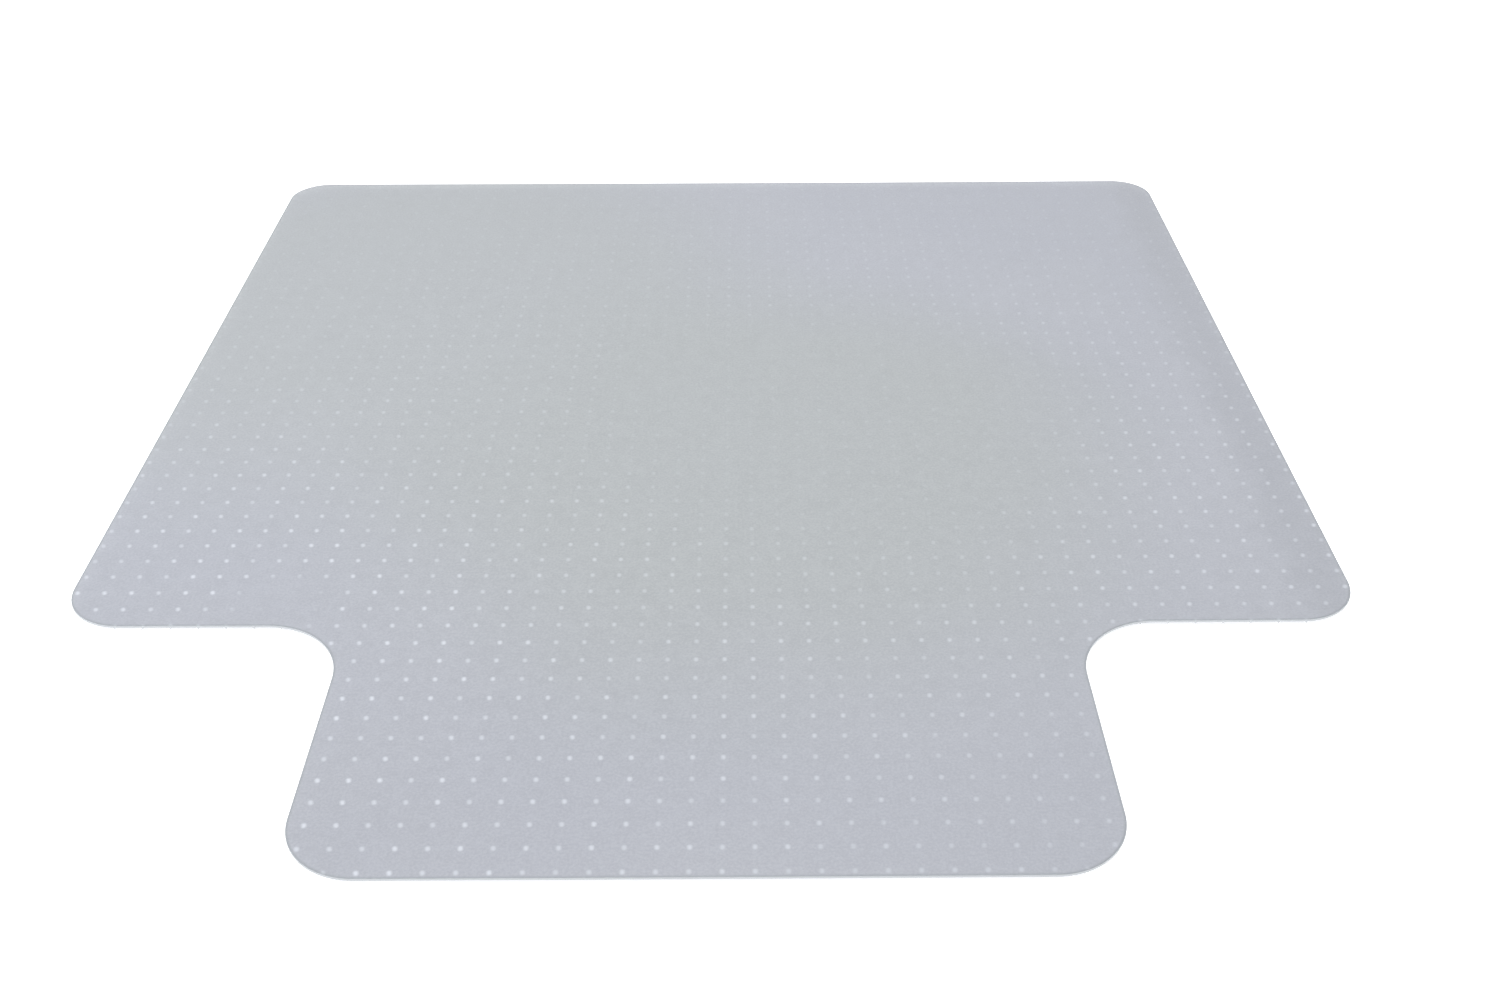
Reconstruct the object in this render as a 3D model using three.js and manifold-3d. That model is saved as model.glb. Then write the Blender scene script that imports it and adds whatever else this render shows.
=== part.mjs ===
// Chair mat for a carpeted floor: a thin plastic plate with a lip that reaches under the desk,
// and a square grid of short studs beneath it that bite into the carpet pile.
// Millimetres, +Z up. The lip points to -Y. The origin is the middle of the mat's bounding box in
// plan, at the height of the stud tips, so the mat stands on z = 0.

import * as THREE from 'three';
import { mergeGeometries, mergeVertices } from 'three/addons/utils/BufferGeometryUtils.js';
import Module from 'manifold-3d';

const wasm = await Module();
wasm.setup();

// Outline, seen from above
const matWidth = 1200;
const matDepth = 1320;
const lipWidth = 662;
const lipDepth = 310;
const backCornerRadius = 48;
const frontCornerRadius = 58;
const lipCornerRadius = 64;
const notchRadius = 75; // inside corners where the lip leaves the main panel
const segmentsPerCorner = 10;

// Thickness, from the top down
const sheetThickness = 1.9;
const webThickness = 0.6; // the skin the studs stand on, which completes the 2.5 mm plate
const studHeight = 4;

// Studs
const studPitch = 25.4;
const firstRowInset = 9; // from the lip's front edge to the first row's centres
const studBaseRadius = 2.4;
const studTipRadius = 1.2;
const studSides = 4;
const studRoot = 0.3; // how far a stud's body runs up into its web
const studEdgeMargin = 2.6; // least distance from a stud's centre to the cut edge
const studStride = 2; // the solid model carries every second stud of the grid, each way

const frontY = -matDepth / 2;
const backY = matDepth / 2;
const shoulderY = frontY + lipDepth;
const webBottom = studHeight;
const webTop = webBottom + webThickness;
const sheetTop = webTop + sheetThickness;

/** The mat's T-shaped outline, counter-clockwise from the left end of the lip's front edge. */
function matOutline() {
  const halfWidth = matWidth / 2;
  const halfLip = lipWidth / 2;
  const right = 0;
  const up = Math.PI / 2;
  const left = Math.PI;
  const down = -Math.PI / 2;
  const notchX = halfLip + notchRadius;
  const notchY = shoulderY - notchRadius;

  const outline = new THREE.Shape();
  outline.moveTo(-halfLip + lipCornerRadius, frontY);
  outline.absarc(halfLip - lipCornerRadius, frontY + lipCornerRadius, lipCornerRadius, down, right);
  outline.absarc(notchX, notchY, notchRadius, left, up, true);
  outline.absarc(halfWidth - frontCornerRadius, shoulderY + frontCornerRadius, frontCornerRadius, down, right);
  outline.absarc(halfWidth - backCornerRadius, backY - backCornerRadius, backCornerRadius, right, up);
  outline.absarc(-halfWidth + backCornerRadius, backY - backCornerRadius, backCornerRadius, up, left);
  outline.absarc(-halfWidth + frontCornerRadius, shoulderY + frontCornerRadius, frontCornerRadius, left, left + up);
  outline.absarc(-notchX, notchY, notchRadius, up, right, true);
  outline.absarc(-halfLip + lipCornerRadius, frontY + lipCornerRadius, lipCornerRadius, left, left + up);
  return outline;
}

/** A flat plate of the mat's outline, from one height to another. */
function plate(bottom, top) {
  const geometry = new THREE.ExtrudeGeometry(matOutline(), {
    depth: top - bottom,
    bevelEnabled: false,
    curveSegments: segmentsPerCorner,
  });
  return geometry.translate(0, 0, bottom);
}

/** Signed distance from a point to a closed outline, positive inside. */
function distanceInside(outline, point) {
  const nearest = new THREE.Vector3();
  const edge = new THREE.Line3();
  let inside = false;
  let distance = Infinity;
  outline.forEach((start, i) => {
    const end = outline[(i + 1) % outline.length];
    edge.start.set(start.x, start.y, 0);
    edge.end.set(end.x, end.y, 0);
    edge.closestPointToPoint(point, true, nearest);
    distance = Math.min(distance, nearest.distanceTo(point));
    const crossesRow = start.y > point.y !== end.y > point.y;
    const crossingX = start.x + ((end.x - start.x) * (point.y - start.y)) / (end.y - start.y);
    if (crossesRow && point.x < crossingX) {
      inside = !inside;
    }
  });
  return inside ? distance : -distance;
}

/** Centres of the studs the solid model carries: mirrored columns either side of the middle, by rows. */
function studCentres() {
  const outline = matOutline().getPoints(segmentsPerCorner);
  const centres = [];
  for (let y = frontY + firstRowInset; y < backY; y += studPitch * studStride) {
    for (let x = studPitch / 2; x < matWidth / 2; x += studPitch * studStride) {
      if (distanceInside(outline, new THREE.Vector3(x, y, 0)) >= studEdgeMargin) {
        centres.push([x, y], [-x, y]);
      }
    }
  }
  return centres;
}

/** One tapered stud, standing on its tip at z = 0 and rooted in the web. */
function stud(x, y) {
  const taper = (studBaseRadius - studTipRadius) / studHeight;
  const rootRadius = studBaseRadius + taper * studRoot;
  const length = studHeight + studRoot;
  const geometry = new THREE.CylinderGeometry(rootRadius, studTipRadius, length, studSides);
  return geometry.rotateX(Math.PI / 2).translate(x, y, length / 2);
}

/** A closed geometry as a manifold solid. */
function toSolid(geometry) {
  const bare = geometry.clone();
  bare.deleteAttribute('normal');
  bare.deleteAttribute('uv');
  const welded = mergeVertices(bare);
  const vertProperties = new Float32Array(welded.attributes.position.array);
  const triVerts = new Uint32Array(welded.index.array);
  return new wasm.Manifold(new wasm.Mesh({ numProp: 3, vertProperties, triVerts }));
}

/** A manifold solid as a flat-shaded geometry. */
function toGeometry(solid) {
  const { vertProperties, triVerts } = solid.getMesh();
  const geometry = new THREE.BufferGeometry();
  geometry.setAttribute('position', new THREE.BufferAttribute(vertProperties, 3));
  geometry.setIndex(new THREE.BufferAttribute(triVerts, 1));
  geometry.computeVertexNormals();
  return geometry;
}

/** The grained plate that the chair rolls on. */
function matSheet() {
  return plate(webTop, sheetTop);
}

/** The studs, joined by the thin web they stand on. */
function gripStuds() {
  const studs = mergeGeometries(studCentres().map(([x, y]) => stud(x, y)));
  return toGeometry(toSolid(plate(webBottom, webTop)).add(toSolid(studs)));
}

function namedMesh(name, geometry, material) {
  const mesh = new THREE.Mesh(geometry, material);
  mesh.name = name;
  return mesh;
}

const frostedPlastic = new THREE.MeshStandardMaterial({ color: 0xbec1c9, roughness: 0.45, metalness: 0 });
const studPlastic = new THREE.MeshStandardMaterial({ color: 0xd9dde2, roughness: 0.3, metalness: 0 });

const chairMat = new THREE.Group();
chairMat.name = 'chair_mat';
chairMat.add(namedMesh('mat_sheet', matSheet(), frostedPlastic));
chairMat.add(namedMesh('grip_studs', gripStuds(), studPlastic));

export default chairMat;
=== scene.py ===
"""The looks of a studded, frosted plastic chair mat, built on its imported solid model.

Two pieces stand for the two solids: the sheet, whose cut edge is rounded and whose wings lift a
little off the floor, and the whole grid of round studs under it.
Everything is in metres, +Z up, with the lip towards -Y and the stud tips on z = 0.
"""

import math
import random

import bmesh
import bpy
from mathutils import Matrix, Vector


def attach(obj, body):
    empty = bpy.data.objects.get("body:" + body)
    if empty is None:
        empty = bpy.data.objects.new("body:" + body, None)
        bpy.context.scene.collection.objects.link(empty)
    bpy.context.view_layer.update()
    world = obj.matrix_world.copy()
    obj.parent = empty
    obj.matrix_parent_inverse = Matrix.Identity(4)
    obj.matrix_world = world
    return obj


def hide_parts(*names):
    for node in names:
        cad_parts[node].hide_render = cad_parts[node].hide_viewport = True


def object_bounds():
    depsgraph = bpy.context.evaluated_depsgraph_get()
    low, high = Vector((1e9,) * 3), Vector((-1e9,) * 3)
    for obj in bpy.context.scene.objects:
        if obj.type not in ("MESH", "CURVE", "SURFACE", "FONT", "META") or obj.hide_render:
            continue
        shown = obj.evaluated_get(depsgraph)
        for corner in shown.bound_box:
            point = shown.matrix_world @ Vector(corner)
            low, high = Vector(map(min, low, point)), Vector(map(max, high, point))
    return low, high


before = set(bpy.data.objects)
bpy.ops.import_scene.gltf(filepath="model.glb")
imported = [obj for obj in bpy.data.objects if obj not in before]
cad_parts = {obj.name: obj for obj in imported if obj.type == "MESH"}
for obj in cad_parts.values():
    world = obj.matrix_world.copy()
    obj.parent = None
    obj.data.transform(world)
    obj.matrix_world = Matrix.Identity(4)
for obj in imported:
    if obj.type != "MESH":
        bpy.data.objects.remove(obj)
cad_low, cad_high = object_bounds()

MM = 0.001
WHITE = (1, 1, 1, 1)

# Outline. The overall size comes from the frame.
FRONT_Y = cad_low.y
BACK_Y = cad_high.y
HALF_WIDTH = cad_high.x
HALF_LIP = 331 * MM
LIP_DEPTH = 310 * MM
SHOULDER_Y = FRONT_Y + LIP_DEPTH
LIP_CORNER = 64 * MM
FRONT_CORNER = 58 * MM
BACK_CORNER = 48 * MM
NOTCH_CORNER = 75 * MM
CORNER_STEPS = 24

# Sheet. Its flat faces end at the rim, which is this far inside the cut edge.
SHEET_TOP = cad_high.z
SHEET_THICKNESS = 2.5 * MM
SHEET_BOTTOM = SHEET_TOP - SHEET_THICKNESS
EDGE_RADIUS = 0.4 * MM
EDGE_STEPS = 4
FLAT_RIM = 3 * MM

# Studs. Each tapers from its base under the sheet, past a waist, to a bevelled tip.
STUD_PITCH = 25.4 * MM
FIRST_ROW_Y = FRONT_Y + 9 * MM
STUD_MARGIN = 2.6 * MM
STUD_BASE_RADIUS = 2.3 * MM
STUD_TIP_RADIUS = 0.9 * MM
STUD_WAIST_RADIUS = STUD_TIP_RADIUS + (STUD_BASE_RADIUS - STUD_TIP_RADIUS) * 0.35
STUD_WAIST_HEIGHT = SHEET_BOTTOM * 0.62
STUD_END_RADIUS = STUD_TIP_RADIUS * 0.62
STUD_BEVEL = 0.45 * MM
STUD_SIDES = 10
STUD_SEED = 7

# How the flexible sheet lies: its wings and corners lift off the floor, and it ripples. A ripple is
# (radians per metre across, radians per metre along, phase).
WING_LIFT = 0.6 * MM
WING_CURL = 2.2
CORNER_LIFT = 0.3 * MM
RIPPLE_HEIGHT = 0.15 * MM
RIPPLES = ((7.1, 2.3, 0.4), (-3.9, 9.7, 1.1))

# How a stud shows through the sheet: its pale spot, a painted highlight, the depth it is seen at, how
# much deeper its tip is seen, how uneven its outline is, and how far the top face is sunk over it
SPOT_EDGE = 3.2 * MM
SPOT_CORE = 0.4 * MM
SEEN_DEPTH = 3.0 * MM
SPOT_LENGTH = 1.3 * MM
UNEVENNESS = 2.5 * MM
SINK = 0.15 * MM

# How strongly it shows. A view's steepness is the upward part of the direction to the viewer: 1
# from straight above, 0 from level with the mat.
FAINTEST_STUD = 0.31
BRIGHTEST_STUD = 0.51
SHALLOWEST_VIEW = 0.2
STUDS_APPEAR = (0.36, 0.64)
SHOWN_FROM_LOW = 0.07
SIDE_MATTERS = (0.50, 0.70)
SIDE_GAIN = 1.3
SIDE_OFFSET = -0.40
SIDE_LEAST = 0.42

# Patches, as (middle, reach): painted shade over the middle, a plainer grey part behind it, the
# painted shade's darkest part, where the studs show least, and a small rubbed patch
MIDDLE_SHADE = ((0.05, -0.06, 0), 0.52)
GREYED = ((-0.38, 0.32, 0), 0.58)
MIDDLE_SHADE_CORE = ((0.13, -0.01, 0), 0.38)
RUBBED = ((-0.40, -0.325, 0), 0.075)
PATCH_CORE = 0.4
PATCH_UNEVENNESS = 0.25
RUB_UNEVENNESS = 0.03
# How much of a stud's pale painted spot is left in each patch; the painted shade leaves less
SPOT_LEFT = {"middle_shade": 0.65, "greyed": 0.75, "middle_shade_core": 0.30, "rubbed": 0.15}

# A band of painted shade down the right side, its mottled border, and how that fades in
SHADED_BAND = 0.055
BAND_MOTTLE = 0.06
BAND_FADE = (0.01, 0.06)

# Noise, as (features per metre, detail, roughness). Most of its values are in NOISE_SPAN.
NOISE_SPAN = (0.3, 0.7)
CLOUD = (2.6, 3.0, 0.5)
MOTTLE = (22.0, 3.0, 0.6)
HAZE = (90.0, 3.0, 0.6)
SPECKLE = (420.0, 3.0, 0.7)
PORES = (900.0, 2.0, 0.6)
MILKINESS = (3.0, 2.0, 0.5)
STUD_MARKS = (420.0, 2.0, 0.5)

# Colours of the plastic, and of the painted shade and highlights on it
COOL_GREY = (0.366, 0.382, 0.430, 1)
COOL_GREY_PALE = (0.377, 0.392, 0.435, 1)
PLAIN_GREY = (0.364, 0.384, 0.405, 1)
# Painted shade over the middle: darker and less blue
MIDDLE_SHADE_GREY = (0.357, 0.378, 0.392, 1)
# Painted shade in the band down the right side
SHADED_BAND_GREY = (0.347, 0.362, 0.402, 1)
# Painted highlight: the pale spots where the studs show through the sheet
STUD_SHINE = (0.86, 0.90, 0.98, 1)
EDGE_LINE = (0.20, 0.23, 0.24, 1)
EDGE_LINE_SHARE = 0.45
# The cut edge, painted paler than the top as painted light where the overhead lamp misses it
CUT_EDGE = (0.56, 0.59, 0.62, 1)
STUD_CLEAR = (0.80, 0.84, 0.88, 1)
STUD_MILKY = (0.88, 0.91, 0.94, 1)

# The grain's share of haze, its values and the brightness they give, and the brightness that a
# steep view takes away: partly the sheet seen through more steeply, partly painted shade on the lip's
# front
GRAIN_HAZE = 0.35
GRAIN_SPAN = (0.45, 0.9)
GRAIN_BRIGHTNESS = (0.93, 1.07)
BRIGHTNESS_FALLS = (0.52, 0.72)
STEEP_BRIGHTNESS = 0.95

# Where the top's finish gives way to the cut edge's colour and to the underside's finish, by how far
# the surface faces up: 1 on top, 0 on the cut edge, -1 underneath
CUT_EDGE_FACING = (0.9, 0.4)
UNDERSIDE_FACING = (0.2, -0.2)

# Finish. An alpha is how much of what is behind it each plastic hides.
PLASTIC_IOR = 1.53
SHEET_ALPHA = 0.8
TOP_ROUGHNESS = (0.38, 0.48)
UNDERSIDE_ROUGHNESS = 0.25
PORE_DEPTH = 0.12 * MM
PORE_STRENGTH = 0.3
STUD_ALPHA = 0.3
STUD_ROUGHNESS = (0.24, 0.36)
STUD_MARK_DEPTH = 0.1 * MM
STUD_MARK_STRENGTH = 0.15

# Stage. A lamp is (name, place, what it points at, width and length, watts).
FLOOR_SIZE = 40.0
FLOOR_WHITE = (0.85, 0.85, 0.85, 1)
FLOOR_ROUGHNESS = 0.9
FLOOR_GLOW = 0.6
DAYLIGHT = 0.75
BACKDROP = 1.1
LAMPS = (
    ("overhead", (-0.1, 0.4, 3.2), (0, 0, 0), (3.0, 3.0), 86),
    ("left", (-2.3, -0.3, 1.2), (-0.6, -0.2, 0), (1.6, 1.2), 14),
)
CAMERA_SENSOR = 36.0
CAMERA_LENS = 39.56
CAMERA_PLACE = (0.032, FRONT_Y - 0.877, 0.940)
CAMERA_TURN = (56.11, 0.16, -0.30)


# ---------------------------------------------------------------- shape of the mat


def smooth(t):
    t = min(max(t, 0.0), 1.0)
    return t * t * (3 - 2 * t)


def lift(x, y):
    """How far the sheet is off the floor at a place in plan."""
    across = abs(x) / HALF_WIDTH
    along = abs(y) / BACK_Y
    ripple = sum(math.sin(a * x + b * y + phase) for a, b, phase in RIPPLES) / len(RIPPLES)
    wings = WING_LIFT * across**WING_CURL + CORNER_LIFT * smooth(across * along)
    return wings + RIPPLE_HEIGHT * (1 + ripple)


def arc(cx, cy, radius, start, end):
    """Points along an arc, with the direction that faces out of the mat at each. Angles in degrees."""
    outward = 1 if end > start else -1
    points = []
    for i in range(CORNER_STEPS + 1):
        angle = math.radians(start + (end - start) * i / CORNER_STEPS)
        ray = Vector((math.cos(angle), math.sin(angle)))
        points.append((Vector((cx, cy)) + ray * radius, ray * outward))
    return points


def half_outline():
    """The right half of the outline, from the lip's front edge round to the back edge."""
    return (
        arc(HALF_LIP - LIP_CORNER, FRONT_Y + LIP_CORNER, LIP_CORNER, -90, 0)
        + arc(HALF_LIP + NOTCH_CORNER, SHOULDER_Y - NOTCH_CORNER, NOTCH_CORNER, 180, 90)
        + arc(HALF_WIDTH - FRONT_CORNER, SHOULDER_Y + FRONT_CORNER, FRONT_CORNER, -90, 0)
        + arc(HALF_WIDTH - BACK_CORNER, BACK_Y - BACK_CORNER, BACK_CORNER, 0, 90)
    )


def outline():
    """The whole outline, counter-clockwise, as (point, outward direction) pairs."""
    right = half_outline()
    left = [(Vector((-p.x, p.y)), Vector((-n.x, n.y))) for p, n in reversed(right)]
    return right + left


OUTLINE = outline()
OUTLINE_EDGES = list(zip(OUTLINE, OUTLINE[1:] + OUTLINE[:1]))


def nearest_on(start, end, place):
    """How far along an edge, from 0 to 1, its nearest point to a place is, and its distance from it."""
    edge = end - start
    t = min(max((place - start).dot(edge) / edge.length_squared, 0.0), 1.0)
    return t, (place - start - edge * t).length


def inside_by(x, y):
    """How far a place is inside the outline, negative outside it."""
    place = Vector((x, y))
    nearest = math.inf
    inside = False
    for (a, _), (b, _) in OUTLINE_EDGES:
        nearest = min(nearest, nearest_on(a, b, place)[1])
        if (a.y > y) != (b.y > y) and x < a.x + (b.x - a.x) * (y - a.y) / (b.y - a.y):
            inside = not inside
    return nearest if inside else -nearest


def outward_at(place):
    """The direction that faces out of the mat at a place near its outline."""
    nearest = math.inf
    for (a, facing_a), (b, facing_b) in OUTLINE_EDGES:
        t, distance = nearest_on(a, b, place)
        if distance < nearest:
            nearest = distance
            facing = facing_a.lerp(facing_b, t).normalized()
    return facing


# ---------------------------------------------------------------- node helpers
# owner is the material or world that the nodes belong to.


def fill_inputs(owner, node, inputs):
    """Sets a node's inputs. Each is a value or another node's socket."""
    for key, value in inputs.items():
        if isinstance(value, bpy.types.NodeSocket):
            owner.node_tree.links.new(value, node.inputs[key])
        else:
            node.inputs[key].default_value = value


def node_of(owner, kind, inputs=None, **settings):
    """A shader node with its settings and inputs."""
    node = owner.node_tree.nodes.new(kind)
    for key, value in settings.items():
        setattr(node, key, value)
    fill_inputs(owner, node, inputs or {})
    return node


def maths(owner, operation, *values, clamp=False):
    inputs = dict(enumerate(values))
    return node_of(owner, "ShaderNodeMath", inputs, operation=operation, use_clamp=clamp).outputs[0]


def vector_maths(owner, operation, *values, **named):
    inputs = dict(enumerate(values)) | named
    node = node_of(owner, "ShaderNodeVectorMath", inputs, operation=operation)
    gives_number = operation in ("DOT_PRODUCT", "DISTANCE")
    return node.outputs["Value" if gives_number else "Vector"]


def vector_of(owner, x, y):
    return node_of(owner, "ShaderNodeCombineXYZ", {"X": x, "Y": y}).outputs[0]


def parts_of(owner, vector):
    return node_of(owner, "ShaderNodeSeparateXYZ", {"Vector": vector}).outputs


def noise(owner, place, kind):
    scale, detail, roughness = kind
    inputs = {"Vector": place, "Scale": scale, "Detail": detail, "Roughness": roughness}
    return node_of(owner, "ShaderNodeTexNoise", inputs).outputs["Fac"]


def centred(owner, noise_value, span):
    """A noise value, which is from 0 to 1, as a number from -span / 2 to span / 2."""
    return maths(owner, "MULTIPLY_ADD", noise_value, span, -span / 2)


def ramp(owner, value, low, high, out_low=0.0, out_high=1.0):
    """value mapped smoothly from low..high to out_low..out_high."""
    inputs = {"Value": value, "From Min": low, "From Max": high, "To Min": out_low, "To Max": out_high}
    return node_of(owner, "ShaderNodeMapRange", inputs, interpolation_type="SMOOTHSTEP").outputs[0]


def mix_colour(owner, share, a, b):
    """Two colours mixed. The node's colour sockets have no names of their own, only numbers."""
    inputs = {0: share, 6: a, 7: b}
    return node_of(owner, "ShaderNodeMix", inputs, data_type="RGBA").outputs[2]


def bump(owner, height, strength, depth, invert=False, **normal):
    inputs = {"Height": height, "Strength": strength, "Distance": depth} | normal
    return node_of(owner, "ShaderNodeBump", inputs, invert=invert).outputs[0]


def direction_to_viewer(owner):
    return node_of(owner, "ShaderNodeNewGeometry").outputs["Incoming"]


def new_material(name):
    material = bpy.data.materials.new(name)
    material.use_nodes = True
    shader = material.node_tree.nodes["Principled BSDF"]
    place = node_of(material, "ShaderNodeTexCoord").outputs["Object"]
    return material, shader, place


# ---------------------------------------------------------------- materials


def spot_distance(owner, off_centre, drawn_out, speckle):
    """How far a place is from a stud's spot, which is a line drawn_out from the stud's centre."""
    along = vector_maths(owner, "DOT_PRODUCT", off_centre, drawn_out)
    whole = maths(owner, "ADD", vector_maths(owner, "DOT_PRODUCT", drawn_out, drawn_out), 1e-9)
    share = maths(owner, "DIVIDE", along, whole, clamp=True)
    nearest = vector_maths(owner, "SCALE", drawn_out, Scale=share)
    distance = vector_maths(owner, "DISTANCE", off_centre, nearest)
    return maths(owner, "ADD", distance, centred(owner, speckle, UNEVENNESS))


def stud_spots(owner, place, speckle):
    """The studs seen through the sheet, as painted pale highlights: (how much of a spot is here, that
    stud's own random value).

    A stud is under the sheet and has depth, so its spot shows nearer the viewer than it is, and is
    drawn out towards the viewer. speckle, a noise, makes its outline uneven.
    """
    to_viewer = direction_to_viewer(owner)
    level = vector_maths(owner, "MULTIPLY", to_viewer, (1, 1, 0))
    steepness = maths(owner, "MAXIMUM", parts_of(owner, to_viewer)["Z"], SHALLOWEST_VIEW)
    slant = vector_maths(owner, "SCALE", level, Scale=maths(owner, "DIVIDE", 1.0, steepness))
    drawn_out = vector_maths(owner, "SCALE", slant, Scale=SPOT_LENGTH)
    shift = vector_maths(owner, "SCALE", slant, Scale=SEEN_DEPTH)

    axes = parts_of(owner, vector_maths(owner, "SUBTRACT", place, shift))
    column = maths(owner, "DIVIDE", axes["X"], STUD_PITCH)
    row = maths(owner, "DIVIDE", maths(owner, "SUBTRACT", axes["Y"], FIRST_ROW_Y), STUD_PITCH)
    row = maths(owner, "ADD", row, 0.5)
    cell = vector_of(owner, maths(owner, "FLOOR", column), maths(owner, "FLOOR", row))
    own = node_of(owner, "ShaderNodeTexWhiteNoise", {"Vector": cell}, noise_dimensions="3D")
    in_cell = vector_of(owner, maths(owner, "FRACT", column), maths(owner, "FRACT", row))
    off_centre = vector_maths(owner, "SUBTRACT", in_cell, (0.5, 0.5, 0))
    off_centre = vector_maths(owner, "SCALE", off_centre, Scale=STUD_PITCH)

    distance = spot_distance(owner, off_centre, drawn_out, speckle)
    return ramp(owner, distance, SPOT_EDGE, SPOT_CORE), own.outputs["Value"]


def in_patch(owner, place, spot, unevenness):
    """How much a place is in a patch of wear, tone or painted shade: 1 near its middle, 0 past its
    reach.
    """
    middle, reach = spot
    distance = maths(owner, "ADD", vector_maths(owner, "DISTANCE", place, middle), unevenness)
    return ramp(owner, distance, reach, reach * PATCH_CORE)


def wear_and_shade_of(owner, place, cloud, haze):
    """How much a place is in each patch of wear, tone and painted shade."""
    broad = centred(owner, cloud, PATCH_UNEVENNESS)
    slight = centred(owner, haze, RUB_UNEVENNESS)
    return {
        "middle_shade": in_patch(owner, place, MIDDLE_SHADE, broad),
        "greyed": in_patch(owner, place, GREYED, broad),
        "middle_shade_core": in_patch(owner, place, MIDDLE_SHADE_CORE, broad),
        "rubbed": in_patch(owner, place, RUBBED, slight),
    }


def stud_strength(owner, wear_and_shade, own):
    """How strongly a stud shows. own is its random value.

    It shows most from above, and from its right, across from the low lamp on the left, and least
    under the painted shade over the middle, in the plainer grey part and in the rubbed patch.
    """
    to_viewer = parts_of(owner, direction_to_viewer(owner))
    side = maths(owner, "MULTIPLY_ADD", to_viewer["X"], SIDE_GAIN, SIDE_OFFSET)
    side = maths(owner, "MULTIPLY_ADD", side, ramp(owner, to_viewer["Z"], *SIDE_MATTERS), 1.0)
    side = maths(owner, "MAXIMUM", side, SIDE_LEAST)
    shown = ramp(owner, to_viewer["Z"], *STUDS_APPEAR, SHOWN_FROM_LOW, 1.0)
    strength = maths(owner, "MULTIPLY", shown, side)
    own_share = ramp(owner, own, 0.0, 1.0, FAINTEST_STUD, BRIGHTEST_STUD)
    strength = maths(owner, "MULTIPLY", strength, own_share)
    # The painted shade over the middle, the plainer grey part and the rubbed patch leave less of each
    # spot
    for kind, left in SPOT_LEFT.items():
        strength = maths(owner, "MULTIPLY", strength, ramp(owner, wear_and_shade[kind], 0.0, 1.0, 1.0, left))
    return strength


def with_shaded_band(owner, colour, place):
    """The colour, darker with painted shade in a mottled band down the right side."""
    into_band = maths(owner, "SUBTRACT", parts_of(owner, place)["X"], HALF_WIDTH - SHADED_BAND)
    mottle = noise(owner, place, MOTTLE)
    into_band = maths(owner, "MULTIPLY_ADD", mottle, BAND_MOTTLE, into_band)
    return mix_colour(owner, ramp(owner, into_band, *BAND_FADE), colour, SHADED_BAND_GREY)


def sheet_colour(owner, place, wear_and_shade, cloud, grain):
    """Cool grey, plainer where worn, dulled down the right side, and grained."""
    colour = mix_colour(owner, ramp(owner, cloud, *NOISE_SPAN), COOL_GREY, COOL_GREY_PALE)
    colour = mix_colour(owner, wear_and_shade["greyed"], colour, PLAIN_GREY)
    # Painted shade: darker and less blue over the middle
    colour = mix_colour(owner, wear_and_shade["middle_shade"], colour, MIDDLE_SHADE_GREY)
    # Painted shade: a mottled darker band down the right side
    colour = with_shaded_band(owner, colour, place)
    brightness = ramp(owner, grain, *GRAIN_SPAN, *GRAIN_BRIGHTNESS)
    colour = vector_maths(owner, "SCALE", colour, Scale=brightness)
    # Partly painted shade: a little darker where the view is steep, as on the lip's front
    steepness = parts_of(owner, direction_to_viewer(owner))["Z"]
    brightness = ramp(owner, steepness, *BRIGHTNESS_FALLS, 1.0, STEEP_BRIGHTNESS)
    return vector_maths(owner, "SCALE", colour, Scale=brightness)


def with_edges(owner, colour, facing):
    """The colour with a dark line just inside the cut edge, and the cut edge itself, painted paler than
    the top as painted light where the overhead lamp misses it.
    """
    rim = node_of(owner, "ShaderNodeAttribute", attribute_name="rim").outputs["Fac"]
    colour = mix_colour(owner, ramp(owner, rim, 0.0, 0.9, 0.0, EDGE_LINE_SHARE), colour, EDGE_LINE)
    cut = ramp(owner, maths(owner, "ABSOLUTE", facing), *CUT_EDGE_FACING)
    return mix_colour(owner, cut, colour, CUT_EDGE)


def frosted_sheet():
    """Translucent frosted plastic: faintly cloudy, grained, with the studs showing through it as
    painted pale highlights, and with painted shade over its middle and down its right side.
    """
    m, shader, place = new_material("frosted_plastic")
    cloud = noise(m, place, CLOUD)
    haze = noise(m, place, HAZE)
    speckle = noise(m, place, SPECKLE)
    grain = maths(m, "MULTIPLY_ADD", haze, GRAIN_HAZE, speckle)
    wear_and_shade = wear_and_shade_of(m, place, cloud, haze)
    # Painted highlight: the studs showing through, as pale spots mixed into the colour
    stud, own = stud_spots(m, place, speckle)
    shown = maths(m, "MULTIPLY", stud, stud_strength(m, wear_and_shade, own))
    colour = mix_colour(m, shown, sheet_colour(m, place, wear_and_shade, cloud, grain), STUD_SHINE)
    normal = node_of(m, "ShaderNodeTexCoord").outputs["Normal"]
    facing = parts_of(m, normal)["Z"]
    roughness = ramp(m, haze, *NOISE_SPAN, *TOP_ROUGHNESS)
    sunk = bump(m, stud, 1.0, SINK, invert=True)
    finish = {
        "Base Color": with_edges(m, colour, facing),
        "Alpha": SHEET_ALPHA,
        "IOR": PLASTIC_IOR,
        "Roughness": ramp(m, facing, *UNDERSIDE_FACING, roughness, UNDERSIDE_ROUGHNESS),
        "Normal": bump(m, noise(m, place, PORES), PORE_STRENGTH, PORE_DEPTH, Normal=sunk),
    }
    fill_inputs(m, shader, finish)
    return m


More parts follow.
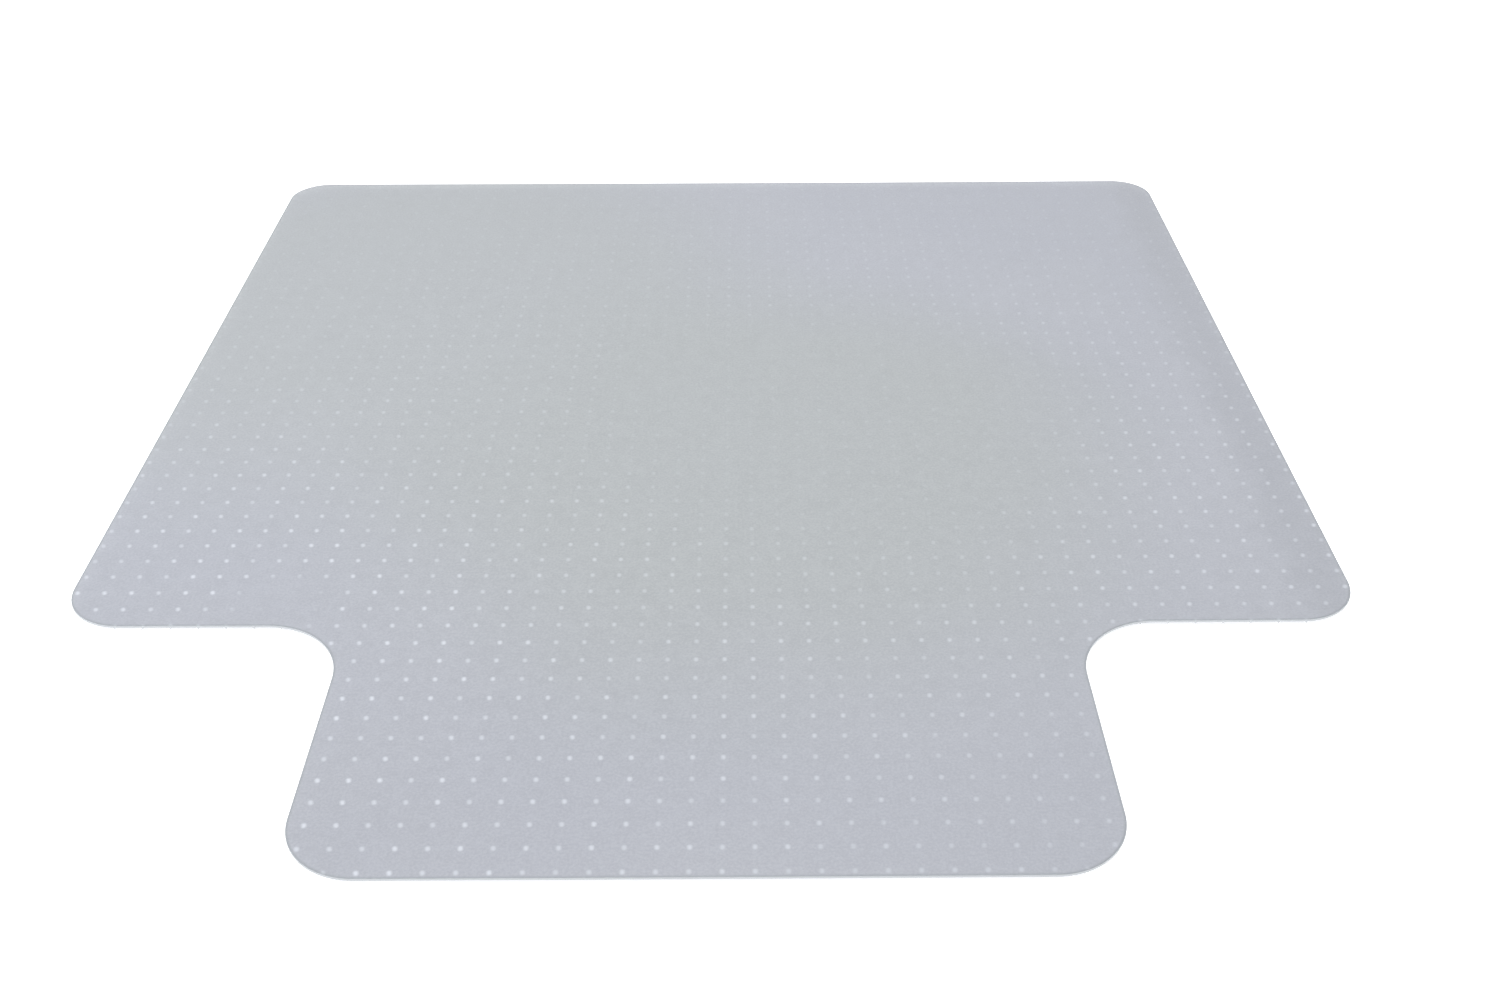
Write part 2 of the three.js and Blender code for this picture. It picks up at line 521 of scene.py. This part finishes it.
def moulded_studs():
    """The studs' plastic, clearer and glossier than the sheet: faintly milky and marked."""
    m, shader, place = new_material("stud_plastic")
    marks = noise(m, place, STUD_MARKS)
    finish = {
        "Base Color": mix_colour(m, noise(m, place, MILKINESS), STUD_CLEAR, STUD_MILKY),
        "Alpha": STUD_ALPHA,
        "IOR": PLASTIC_IOR,
        "Roughness": ramp(m, marks, *NOISE_SPAN, *STUD_ROUGHNESS),
        "Normal": bump(m, marks, STUD_MARK_STRENGTH, STUD_MARK_DEPTH),
    }
    fill_inputs(m, shader, finish)
    return m


# ---------------------------------------------------------------- pieces


def new_piece(name, bm, material, node):
    """A finished mesh as a piece of the object, in place of a CAD node."""
    mesh = bpy.data.meshes.new(name)
    bm.to_mesh(mesh)
    bm.free()
    piece = bpy.data.objects.new(name, mesh)
    bpy.context.scene.collection.objects.link(piece)
    mesh.materials.append(material)
    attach(piece, "root")
    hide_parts(node)


def cut_into_cells(bm, size):
    """Cuts a flat face along a square grid, so that it can bend."""
    for axis, low, high in ((0, -HALF_WIDTH, HALF_WIDTH), (1, FRONT_Y, BACK_Y)):
        for i in range(1, math.ceil((high - low) / size)):
            place, normal = [0, 0, 0], [0, 0, 0]
            place[axis] = low + i * size
            normal[axis] = 1
            everything = bm.verts[:] + bm.edges[:] + bm.faces[:]
            bmesh.ops.bisect_plane(bm, geom=everything, plane_co=place, plane_no=normal, dist=1e-6)


def boundary_loop(bm):
    """The vertices round the edge of an open sheet, in order, counter-clockwise."""
    start = next(e for e in bm.edges if e.is_boundary)
    loop = next(l for l in start.link_faces[0].loops if l.edge == start)
    ring = [loop.vert]
    here = loop.link_loop_next.vert
    came = start
    while here is not ring[0]:
        ring.append(here)
        came = next(e for e in here.link_edges if e.is_boundary and e is not came)
        here = came.other_vert(here)
    return ring


def edge_profile():
    """(inset, height) of each ring round the sheet's rounded edge, from the top to the bottom face."""
    rings = []
    for i in range(EDGE_STEPS + 1):
        angle = math.pi / 2 * i / EDGE_STEPS
        rings.append((EDGE_RADIUS * (1 - math.sin(angle)), EDGE_RADIUS * (1 - math.cos(angle))))
    upper = [(inset, SHEET_TOP - drop) for inset, drop in rings]
    lower = [(inset, SHEET_BOTTOM + drop) for inset, drop in reversed(rings)]
    return upper + lower + [(FLAT_RIM, SHEET_BOTTOM)]


def add_rounded_edge(bm, top_edge):
    """Faces from the top face's edge round the cut edge. Gives the bottom face's edge.

    The rim layer is 1 on the cut edge and fades to 0 where the flat faces start.
    """
    rim = bm.verts.layers.float["rim"]
    starts = [Vector((v.co.x, v.co.y)) for v in top_edge]
    facings = [outward_at(start) for start in starts]
    ring_above = top_edge
    for inset, height in edge_profile():
        ring = []
        for start, facing in zip(starts, facings):
            place = start + facing * (FLAT_RIM - inset)
            vertex = bm.verts.new((place.x, place.y, height))
            vertex[rim] = float(inset < FLAT_RIM)
            ring.append(vertex)
        for i, above in enumerate(ring_above):
            j = (i + 1) % len(ring)
            bm.faces.new((above, ring[i], ring[j], ring_above[j]))
        ring_above = ring
    return ring_above


def add_underside(bm, top_faces, below):
    """The bottom face: the top's faces, turned over. below maps the top's edge to the bottom's."""
    for face in top_faces:
        for v in face.verts:
            if v not in below:
                below[v] = bm.verts.new((v.co.x, v.co.y, SHEET_BOTTOM))
        bm.faces.new([below[v] for v in reversed(face.verts)])


def build_sheet(material):
    """The plate: a flat top, a rounded edge and an underside, all following the lift."""
    bm = bmesh.new()
    bm.verts.layers.float.new("rim")
    corners = [point - facing * FLAT_RIM for point, facing in OUTLINE]
    bm.faces.new([bm.verts.new((p.x, p.y, SHEET_TOP)) for p in corners])
    cut_into_cells(bm, STUD_PITCH)
    top_faces = bm.faces[:]
    top_edge = boundary_loop(bm)
    bottom_edge = add_rounded_edge(bm, top_edge)
    add_underside(bm, top_faces, dict(zip(top_edge, bottom_edge)))
    for v in bm.verts:
        v.co.z += lift(v.co.x, v.co.y)
    for face in bm.faces:
        face.smooth = True
    bmesh.ops.recalc_face_normals(bm, faces=bm.faces)
    new_piece("mat_sheet_frosted", bm, material, "mat_sheet")


def stud_profile():
    """(radius, height) of a stud from its base under the sheet to its tip on the floor."""
    return (
        (STUD_BASE_RADIUS, SHEET_BOTTOM),
        (STUD_WAIST_RADIUS, STUD_WAIST_HEIGHT),
        (STUD_TIP_RADIUS, STUD_BEVEL),
        (STUD_END_RADIUS, 0.0),
    )


def stud_places():
    """The centre of every stud inside the outline, row by row, each with its own turn."""
    dice = random.Random(STUD_SEED)
    columns = math.ceil(HALF_WIDTH / STUD_PITCH)
    for row in range(math.ceil((BACK_Y - FIRST_ROW_Y) / STUD_PITCH)):
        for column in range(-columns, columns):
            x = (column + 0.5) * STUD_PITCH
            y = FIRST_ROW_Y + row * STUD_PITCH
            turn = dice.random() * math.tau
            if inside_by(x, y) >= STUD_MARGIN:
                yield x, y, turn


def add_stud(bm, x, y, turn):
    """One tapered stud, a closed solid."""
    rings = []
    for radius, height in stud_profile():
        ring = []
        for i in range(STUD_SIDES):
            angle = turn + math.tau * i / STUD_SIDES
            place = (x + radius * math.cos(angle), y + radius * math.sin(angle), height + lift(x, y))
            ring.append(bm.verts.new(place))
        rings.append(ring)
    bm.faces.new(rings[0])
    bm.faces.new(reversed(rings[-1]))
    for upper, lower in zip(rings, rings[1:]):
        for i in range(STUD_SIDES):
            j = (i + 1) % STUD_SIDES
            face = bm.faces.new((upper[i], lower[i], lower[j], upper[j]))
            face.smooth = True


def build_studs(material):
    """Every stud of the grid, each its own closed solid."""
    bm = bmesh.new()
    for x, y, turn in stud_places():
        add_stud(bm, x, y, turn)
    new_piece("grip_studs_round", bm, material, "grip_studs")


# ---------------------------------------------------------------- stage


def floor():
    """A white floor that partly lights itself, so that the mat's shadow on it stays faint."""
    bpy.ops.mesh.primitive_plane_add(size=FLOOR_SIZE, location=(0, 0, 0))
    plane = bpy.context.object
    plane.name = "floor"
    material, shader, _ = new_material("pale_floor")
    finish = {
        "Base Color": FLOOR_WHITE,
        "Roughness": FLOOR_ROUGHNESS,
        "Emission Color": WHITE,
        "Emission Strength": FLOOR_GLOW,
    }
    fill_inputs(material, shader, finish)
    plane.data.materials.append(material)


def area_light(name, place, target, size, power):
    data = bpy.data.lights.new(name, "AREA")
    data.shape = "RECTANGLE"
    data.size, data.size_y = size
    data.energy = power
    lamp = bpy.data.objects.new(name, data)
    lamp.location = place
    lamp.rotation_euler = (Vector(target) - Vector(place)).to_track_quat("-Z", "Y").to_euler()
    bpy.context.scene.collection.objects.link(lamp)


def studio():
    """Soft daylight from all round, a broad lamp overhead and a smaller one at the left.

    The camera sees the world brighter than it lights the mat, as a plain white backdrop.
    """
    world = bpy.data.worlds.new("studio")
    world.use_nodes = True
    seen = node_of(world, "ShaderNodeLightPath").outputs["Is Camera Ray"]
    strength = ramp(world, seen, 0.0, 1.0, DAYLIGHT, BACKDROP)
    background = world.node_tree.nodes["Background"]
    fill_inputs(world, background, {"Color": WHITE, "Strength": strength})
    bpy.context.scene.world = world
    for lamp in LAMPS:
        area_light(*lamp)
    bpy.context.scene.view_settings.view_transform = "Standard"


def camera():
    """A viewer just right of the middle line, above and in front of the lip."""
    data = bpy.data.cameras.new("camera")
    data.sensor_width = CAMERA_SENSOR
    data.lens = CAMERA_LENS
    viewer = bpy.data.objects.new("camera", data)
    viewer.location = CAMERA_PLACE
    viewer.rotation_euler = [math.radians(angle) for angle in CAMERA_TURN]
    bpy.context.scene.collection.objects.link(viewer)
    bpy.context.scene.camera = viewer


build_sheet(frosted_sheet())
build_studs(moulded_studs())
floor()
studio()
camera()
